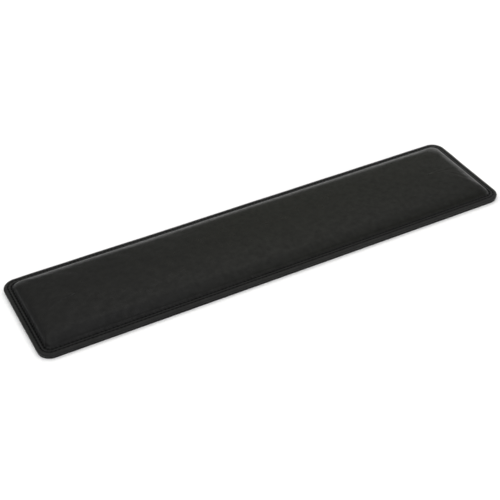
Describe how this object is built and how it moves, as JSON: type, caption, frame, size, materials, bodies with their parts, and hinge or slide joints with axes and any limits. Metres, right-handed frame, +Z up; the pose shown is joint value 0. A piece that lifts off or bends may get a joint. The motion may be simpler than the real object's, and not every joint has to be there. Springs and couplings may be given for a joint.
{
  "type": "keyboard wrist rest",
  "caption": "Long low padded wrist rest with a crowned leatherette pad, a flat rim with a double row of stitching and a rubber base, for use in front of a keyboard.",
  "frame": {"origin": "centre of the footprint, on the desk plane under the rubber base", "axes": "+X along the length, +Y away from the user towards the keyboard, +Z up out of the desk"},
  "size_m": [0.445, 0.1024, 0.0125],
  "materials": {
    "leatherette": "satin",
    "foam": "matte",
    "bonding_film": "satin",
    "board": "matte",
    "bonding_sheet": "matte",
    "base_rubber": "matte",
    "thread": "satin",
    "bobbin_thread": "satin"
  },
  "bodies": {
    "root": {"top_cover": "leatherette", "foam_core": "foam", "foam_bonding_film": "bonding_film", "stiffener_board": "board", "base_bonding_sheet": "bonding_sheet", "rubber_base": "base_rubber", "outer_needle_thread": "thread", "inner_needle_thread": "thread", "outer_bobbin_thread": "bobbin_thread", "inner_bobbin_thread": "bobbin_thread"}
  },
  "joints": []
}
